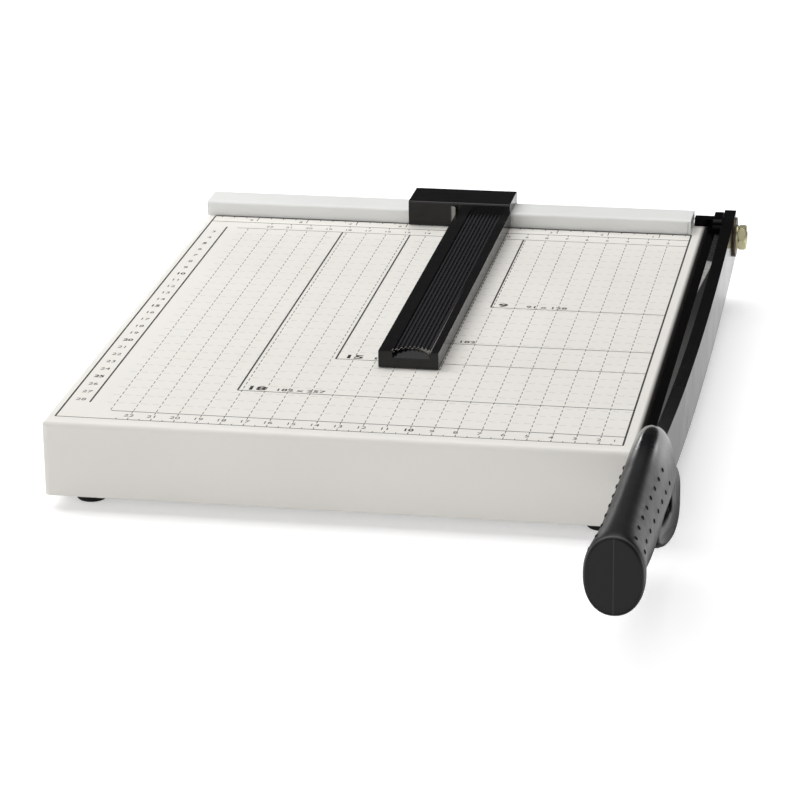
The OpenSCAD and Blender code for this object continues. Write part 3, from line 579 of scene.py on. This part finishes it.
def foot_scale(scales):
    top, bottom = GRID_V[1], FRAME_V[1]
    for u in FOOT_COLUMNS:
        scales.line(u + 0.5, bottom, u + 0.5, bottom - FOOT_HALF_TICK, FINE)
        if u > 1:
            weight = DIGIT_WEIGHT if u == 10 else 0.0
            scales.line(u, bottom, u, bottom - FOOT_TICK, FINE)
            scales.line(u, top, u, top + FOOT_TICK, FINE)
            scales.number(str(u), u + FOOT_DIGIT_SHIFT, FOOT_DIGIT_V, DIGIT_H, weight)
    scales.number("1", FIRST_DIGIT_U, FOOT_DIGIT_V, SMALL_DIGIT_H)


def sheet_labels(scales):
    for u, v in SHEETS:
        side, rise = LABEL_SHIFT
        scales.number(str(round(u)), u - side, v - rise, LABEL_H, LABEL_WEIGHT, 1.4, "LEFT")
        width, length = round(u * 10), round(v * 10)
        side, rise = SHEET_SIZE_SHIFT
        scales.number(f"{width} x {length}", u - side, v - rise, DIGIT_H, SHEET_SIZE_WEIGHT, 1.3, "LEFT")


def print_scales():
    scales = Print()
    inch_scale(scales)
    for u in HEAD_COLUMNS:
        scales.line(u, HEAD_V, u, HEAD_V + HEAD_TICK, FINE)
        scales.number(str(u), u, HEAD_DIGIT_V, SMALL_DIGIT_H)
    for v in GRID_ROWS:
        weight = DIGIT_WEIGHT if v % 5 == 0 else 0.0
        scales.number(str(v), COLUMN_DIGIT_U, v - COLUMN_DIGIT_RISE, DIGIT_H, weight)
    foot_scale(scales)
    sheet_labels(scales)
    scales.finish("print_scales", INK_DARK)


# Handle: the same loft as the solid's, with finer rings, in millimetres from the nose and the datum line
HANDLE_L = 143.0
GRIP_R = 9.3
GRIP_TOP = 32.0
BELLY_DROP = 4.6
POMMEL_R = 11.4
POMMEL_TOP = 34.8
POMMEL_BOTTOM = 3.2
GUARD_HALF = 9.8
GUARD_L = 80.0
GUARD_H = 30.0
GUARD_TAPER = 1.05
GUARD_WAIST = 0.1
GUARD_EDGE = 2.4
ROUND_TOP = 2.1
ROUND_BOTTOM = 2.15
HALF_POINTS = 40
RING_STEPS = 6
EDGE_STEPS = 8
GRIP_SHARES = [
    (0, 0.42, 0.28, 0.43, 0.1),
    (0.01, 0.71, 0.27, 0.61, 0.02),
    (0.03, 0.92, 0.25, 0.77, -0.03),
    (0.063, 0.995, 0.22, 0.88, -0.06),
    (0.125, 1, 0.19, 0.955, -0.03),
    (0.22, 1, 0.2, 0.995, 0.015),
    (0.335, 1, 0.27, 1, 0.015),
]
BELLY_SHARES = [(0.46, 1, 0.36, 1, -1), (0.59, 1, 0.45, 1.015, -0.87), (0.71, 1, 0.53, 1.035, -0.2)]
POMMEL_SHARES = [
    (2, 0.16, 0.07, -0.1), (1, 0.06, 0.02, -0.02), (0.4, 0, 0, 0), (0.15, 0.02, 0.025, 0.025),
    (0.05, 0.07, 0.09, 0.09), (0.01, 0.15, 0.2, 0.2), (0, 0.4, 0.55, 0.55),
]
GUARD_SHARES = [
    (0.165, 0.4), (0.05, 0.37), (-0.04, 0.27), (-0.1, 0.07), (-0.12, -0.17), (-0.115, -0.38),
    (-0.075, -0.525), (0.01, -0.58), (0.15, -0.565), (0.325, -0.465), (0.54, -0.3), (0.7, -0.145),
    (0.83, -0.01), (0.89, 0.1), (0.88, 0.22), (0.78, 0.22), (0.63, 0.09), (0.5, 0.02), (0.4, -0.01),
    (0.325, 0.01), (0.285, 0.13), (0.26, 0.3),
]


def between(a, b, c, d, t):
    """Catmull-Rom point between b and c."""
    return tuple(
        0.5 * (2 * q + (r - p) * t + (2 * p - 5 * q + 4 * r - s) * t**2 + (3 * q - p - 3 * r + s) * t**3)
        for p, q, r, s in zip(a, b, c, d)
    )


def grip_sections():
    middle = (POMMEL_TOP + POMMEL_BOTTOM) / 2
    grip = [(HANDLE_L * s[0], GRIP_R * s[1], *(GRIP_TOP * share for share in s[2:])) for s in GRIP_SHARES]
    belly = [
        (HANDLE_L * s[0], GRIP_R * s[1], GRIP_TOP * s[2], GRIP_TOP * s[3], BELLY_DROP * s[4])
        for s in BELLY_SHARES
    ]
    pommel = [
        (HANDLE_L - POMMEL_R * s[0], POMMEL_R * (1 - s[1]), middle,
         POMMEL_TOP - POMMEL_R * s[2], POMMEL_BOTTOM + POMMEL_R * s[3])
        for s in POMMEL_SHARES
    ]
    sections = grip + belly + pommel
    last = len(sections) - 1
    rings = []
    for i in range(last):
        around = [sections[min(max(i + k, 0), last)] for k in (-1, 0, 1, 2)]
        rings += [between(*around, k / RING_STEPS) for k in range(RING_STEPS)]
    return rings + [sections[last]]


def section_point(section, angle):
    along, half, wide, top, bottom = section
    power = 2 / (ROUND_BOTTOM if angle < 0 else ROUND_TOP)
    reach = abs(math.sin(angle)) ** power
    height = wide - (wide - bottom) * reach if angle < 0 else wide + (top - wide) * reach
    return (half * abs(math.cos(angle)) ** power, -along, height)


def loft(rings):
    """Closed mesh through rings of equal length."""
    shape = bmesh.new()
    made = [[shape.verts.new(point) for point in ring] for ring in rings]
    count = len(rings[0])
    for near, far in zip(made, made[1:]):
        for i in range(count):
            j = (i + 1) % count
            shape.faces.new((near[i], near[j], far[j], far[i]))
    shape.faces.new(made[0])
    shape.faces.new(made[-1])
    bmesh.ops.recalc_face_normals(shape, faces=shape.faces)
    return shape


def grip_loft():
    angles = [math.pi * (j / HALF_POINTS - 0.5) for j in range(HALF_POINTS + 1)]
    rings = []
    for section in grip_sections():
        right = [section_point(section, angle) for angle in angles]
        left = [(-x, y, z) for x, y, z in reversed(right[1:-1])]
        rings.append(right + left)
    return loft(rings)


def guard_loft():
    outline = [(GUARD_L * s[0], GUARD_H * s[1]) for s in GUARD_SHARES]
    count = len(outline)
    points = [
        Vector(between(*(outline[(i + k) % count] for k in (-1, 0, 1, 2)), step / RING_STEPS))
        for i in range(count) for step in range(RING_STEPS)
    ]
    right = []
    for k in range(EDGE_STEPS + 1):
        angle = math.pi / 2 * k / EDGE_STEPS
        right.append((GUARD_HALF - GUARD_EDGE * (1 - math.sin(angle)), GUARD_EDGE * (1 - math.cos(angle))))
    levels = [(-out, inset) for out, inset in reversed(right)] + right
    rings = []
    for out, inset in levels:
        ring = []
        for i, point in enumerate(points):
            way = (points[(i + 1) % len(points)] - points[i - 1]).normalized()
            drawn = point + inset * Vector((-way.y, way.x))
            narrowed = 1 - GUARD_TAPER * max(0, drawn.y / GUARD_H + GUARD_WAIST) ** 2
            ring.append((out * narrowed, -drawn.x, drawn.y))
        rings.append(ring)
    return loft(rings)


def as_object(shape, name):
    mesh = bpy.data.meshes.new(name)
    shape.to_mesh(mesh)
    shape.free()
    made = bpy.data.objects.new(name, mesh)
    bpy.context.scene.collection.objects.link(made)
    return made


def combine(target, tool, operation):
    """Joins the tool to the target or cuts it out, and removes the tool."""
    step = target.modifiers.new("step", "BOOLEAN")
    step.operation = operation
    step.solver = "MANIFOLD"
    step.object = tool
    shape = final_mesh(target)
    target.modifiers.clear()
    target.data = shape
    bpy.data.objects.remove(tool)


# The blade's arc and tang, which the handle's pocket takes, and the handle's screws
hinge = next(joint for joint in frame["joints"] if joint["name"] == "blade_hinge")
BACK_R = 1700.0
BACK_LOW_REACH = 126.0
BACK_RISE = 5.0
BLADE_H = 30.3
BLADE_HALF = 2.8
POCKET_PLAY = 0.15
POCKET_STEP = 0.004
POCKET_POINTS = 11
BLADE_BURY = 11.0
TANG_L = 70.0
TANG_H = 14.0
TANG_IN = 1.0
SCREW_AT = (18.0, 54.0)
SCREW_R = 2.05
SCREW_X = (-12, 1)
HEAD_R = 3.7
HEAD_SEAT = 5.95
HOLE_SIDES = 48
PAST_SIDE = 20
PAST_HANDLE = [(-200, -60), (60, -60), (60, 80), (-200, 80)]
SHARP_ANGLE = math.radians(32)
handle_low, handle_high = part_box("handle_right")
handle_middle = sum(corner.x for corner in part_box("blade")) / 2
HANDLE_NOSE = Vector((handle_middle, handle_low.y + HANDLE_L * MM, handle_high.z - POMMEL_TOP * MM))
pivot_y, pivot_z = (value / MM for value in hinge["pos_m"][1:])
ARC_AXIS = Vector((0, pivot_y - BACK_LOW_REACH, pivot_z + BACK_RISE + BACK_R)) - Vector(
    (0, HANDLE_NOSE.y / MM, HANDLE_NOSE.z / MM)
)
BLADE_ANGLE = math.asin((ARC_AXIS.y + BLADE_BURY) / BACK_R)


def slab(outline, low, high):
    """Prism along X over an outline of (y, z) points."""
    return loft([[(low, y, z) for y, z in outline], [(high, y, z) for y, z in outline]])


def arc_point(radius, angle):
    return (ARC_AXIS.y - radius * math.sin(angle), ARC_AXIS.z - radius * math.cos(angle))


def pocket(low, high):
    angles = [BLADE_ANGLE + POCKET_PLAY / BACK_R - POCKET_STEP * k for k in range(POCKET_POINTS)]
    inner = [arc_point(BACK_R - POCKET_PLAY, angle) for angle in angles]
    outer = [arc_point(BACK_R + BLADE_H + POCKET_PLAY, angle) for angle in reversed(angles)]
    return slab(inner + outer, low, high)


def at_tang(forward, drop):
    """A place on the tang, by its distance from the root and its depth below the blade's back."""
    radius = BACK_R + drop
    turned = Vector((-forward, -radius))
    turned.rotate(Matrix.Rotation(-BLADE_ANGLE, 2))
    return (ARC_AXIS.y + turned.x, ARC_AXIS.z + turned.y)


def tang_pocket(low, high):
    top, bottom = TANG_IN - POCKET_PLAY, TANG_IN + TANG_H + POCKET_PLAY
    front = -BLADE_BURY / 2
    corners = [at_tang(front, top), at_tang(TANG_L, top), at_tang(TANG_L, bottom), at_tang(front, bottom)]
    return slab(corners, low, high)


def hole(forward, radius, low, high):
    y, z = at_tang(forward, TANG_IN + TANG_H / 2)
    turns = [2 * math.pi * k / HOLE_SIDES for k in range(HOLE_SIDES)]
    return slab([(y + radius * math.cos(t), z + radius * math.sin(t)) for t in turns], low, high)


def moulding():
    """Both halves of the handle in one, with the pocket for the blade and its tang."""
    whole = as_object(grip_loft(), "moulding")
    combine(whole, as_object(guard_loft(), "guard"), "UNION")
    deep = BLADE_HALF + POCKET_PLAY
    combine(whole, as_object(pocket(-deep, deep), "pocket"), "DIFFERENCE")
    combine(whole, as_object(tang_pocket(-deep, deep), "tang"), "DIFFERENCE")
    return whole


def make_handle(side):
    """One half of the handle: side is 1 on the right and -1 on the left."""
    half = moulding()
    other_side = slab(PAST_HANDLE, *sorted((0, -PAST_SIDE * side)))
    combine(half, as_object(other_side, "other_side"), "DIFFERENCE")
    if side < 0:
        for forward in SCREW_AT:
            combine(half, as_object(hole(forward, SCREW_R, *SCREW_X), "hole"), "DIFFERENCE")
            seat = hole(forward, HEAD_R, -PAST_SIDE, -HEAD_SEAT)
            combine(half, as_object(seat, "seat"), "DIFFERENCE")
    mesh = half.data
    mesh.transform(Matrix.Translation(HANDLE_NOSE) @ Matrix.Diagonal((MM, MM, MM, 1)))
    mesh.shade_smooth()
    mesh.set_sharp_from_angle(angle=SHARP_ANGLE)
    bpy.data.objects.remove(half)
    name = "handle_right" if side > 0 else "handle_left"
    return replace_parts(add_piece(name + "_moulding", mesh, "blade", "handle_plastic"), name)


# Grip nubs: two staggered rows on each side, in millimetres from the nose and the datum line
NUB_R = 1.0
NUB_RISE = 0.55
NUB_COUNT = 8
NUB_SIDES = 12
NUB_RINGS = [(1.0, -0.4), (1.0, 0.0), (0.82, 0.55), (0.45, 0.9)]
NUB_SEARCH = 40
NUB_ROWS = [((32.2, 13.1), (132.5, 25.3)), ((44.3, 23.1), (134.8, 31.4))]


def nub(shape, point, normal):
    """A low dome that stands on a surface."""
    turn = normal.to_track_quat("Z", "Y").to_matrix()
    made = []
    for share, rise in NUB_RINGS:
        radius = NUB_R * share
        ring = []
        for k in range(NUB_SIDES):
            angle = 2 * math.pi * k / NUB_SIDES
            place = Vector((radius * math.cos(angle), radius * math.sin(angle), NUB_RISE * rise))
            ring.append(shape.verts.new(point + turn @ (place * MM)))
        made.append(ring)
    for near, far in zip(made, made[1:]):
        for k in range(NUB_SIDES):
            j = (k + 1) % NUB_SIDES
            shape.faces.new((near[k], near[j], far[j], far[k]))
    crown = shape.verts.new(point + turn @ Vector((0, 0, NUB_RISE * MM)))
    for k in range(NUB_SIDES):
        shape.faces.new((made[-1][k], made[-1][(k + 1) % NUB_SIDES], crown))
    shape.faces.new(list(reversed(made[0])))


def make_nubs(half, side):
    corners = [vertex.co.copy() for vertex in half.data.vertices]
    surface = BVHTree.FromPolygons(corners, [face.vertices[:] for face in half.data.polygons])
    shape = bmesh.new()
    for (first_along, first_up), (last_along, last_up) in NUB_ROWS:
        for k in range(NUB_COUNT):
            share = k / (NUB_COUNT - 1)
            along = first_along + (last_along - first_along) * share
            up = first_up + (last_up - first_up) * share
            start = HANDLE_NOSE + Vector((side * NUB_SEARCH, -along, up)) * MM
            point, normal = surface.ray_cast(start, Vector((-side, 0, 0)))[:2]
            if point is not None:
                nub(shape, point, normal if normal.x * side > 0 else -normal)
    bmesh.ops.recalc_face_normals(shape, faces=shape.faces)
    mesh = bpy.data.meshes.new("nubs")
    shape.to_mesh(mesh)
    shape.free()
    mesh.shade_smooth()
    add_piece("grip_nubs_right" if side > 0 else "grip_nubs_left", mesh, "blade", "handle_plastic")


# Floor, world and lamps: an overhead dome, a key box on the left, two low boxes behind and a low front fill
FLOOR_HALF = 40.0
FLOOR_GLOW = 0.44
DOME_DARK = (0.04, 0.04, 0.042, 1.0)
DOME_LIGHT = (2.65, 2.65, 2.66, 1.0)
DOME_AXIS = (-0.1, 0.3, 0.95)
DOME_RISE = (0.74, 0.97)
BOXES = {
    "key": ((-0.62, 0.16, 0.66), (0.0, 0.08, 0.04), 0.45, 2.2),
    "rear_left": ((-0.7, 1.9, 0.2), (0.126, -0.115, 0.06), 0.3, 1.2),
    "rear_right": ((1.0, 1.8, 0.16), (0.126, -0.115, 0.06), 0.2, 0.9),
}
FRONT_FROM = (-0.25, -0.93, 0.24)
FRONT_STRENGTH = 1.3
FRONT_ANGLE = 60


def make_floor():
    shape = bmesh.new()
    corners = [(-1, -1), (1, -1), (1, 1), (-1, 1)]
    shape.faces.new([shape.verts.new((x * FLOOR_HALF, y * FLOOR_HALF, 0.0)) for x, y in corners])
    floor = as_object(shape, "floor")
    finish = Finish("floor", Roughness=0.9, Specular_IOR_Level=0.0)
    cloud = finish.spread(finish.noise(700), 0, 1)
    finish.colour(finish.mix(cloud, srgb(238, 238, 238), srgb(240, 240, 240)))
    rays = finish.add("ShaderNodeLightPath").outputs
    seen = rays["Is Camera Ray"]
    for kind in ("Is Glossy Ray", "Is Transmission Ray"):
        seen = finish.larger(seen, rays[kind])
    finish.feed(finish.shader.inputs["Emission Strength"], finish.multiply(seen, FLOOR_GLOW))
    finish.shader.inputs["Emission Color"].default_value = (1.0, 1.0, 1.0, 1.0)
    floor.data.materials.append(finish.material)


def make_world():
    world = bpy.data.worlds.new("studio")
    world.use_nodes = True
    tree = world.node_tree
    background = tree.nodes["Background"]
    coordinates = tree.nodes.new("ShaderNodeTexCoord")
    height = tree.nodes.new("ShaderNodeVectorMath")
    height.operation = "DOT_PRODUCT"
    height.inputs[1].default_value = Vector(DOME_AXIS).normalized()
    rise = tree.nodes.new("ShaderNodeMapRange")
    rise.inputs["From Min"].default_value = DOME_RISE[0]
    rise.inputs["From Max"].default_value = DOME_RISE[1]
    sky = tree.nodes.new("ShaderNodeMix")
    sky.data_type = "RGBA"
    sky.inputs[6].default_value = DOME_DARK
    sky.inputs[7].default_value = DOME_LIGHT
    tree.links.new(coordinates.outputs["Generated"], height.inputs[0])
    tree.links.new(height.outputs["Value"], rise.inputs["Value"])
    tree.links.new(rise.outputs["Result"], sky.inputs[0])
    tree.links.new(sky.outputs[2], background.inputs["Color"])
    bpy.context.scene.world = world


def add_lamp(data, place, source):
    lamp = bpy.data.objects.new(data.name, data)
    lamp.location = place
    lamp.rotation_mode = "QUATERNION"
    lamp.rotation_quaternion = Vector(source).to_track_quat("Z", "Y")
    bpy.context.scene.collection.objects.link(lamp)


def make_lamps():
    for name, (place, target, size, power) in BOXES.items():
        box = bpy.data.lights.new(name, "AREA")
        box.size = size
        box.energy = power
        add_lamp(box, place, Vector(place) - Vector(target))
    front = bpy.data.lights.new("front", "SUN")
    front.energy = FRONT_STRENGTH
    front.angle = math.radians(FRONT_ANGLE)
    add_lamp(front, (0, 0, 0), FRONT_FROM)


make_camera()
dress_nodes()
print_frame()
print_grid()
print_scales()
for side in (1, -1):
    make_nubs(make_handle(side), side)
make_floor()
make_world()
make_lamps()
bpy.context.scene.view_settings.view_transform = "Standard"
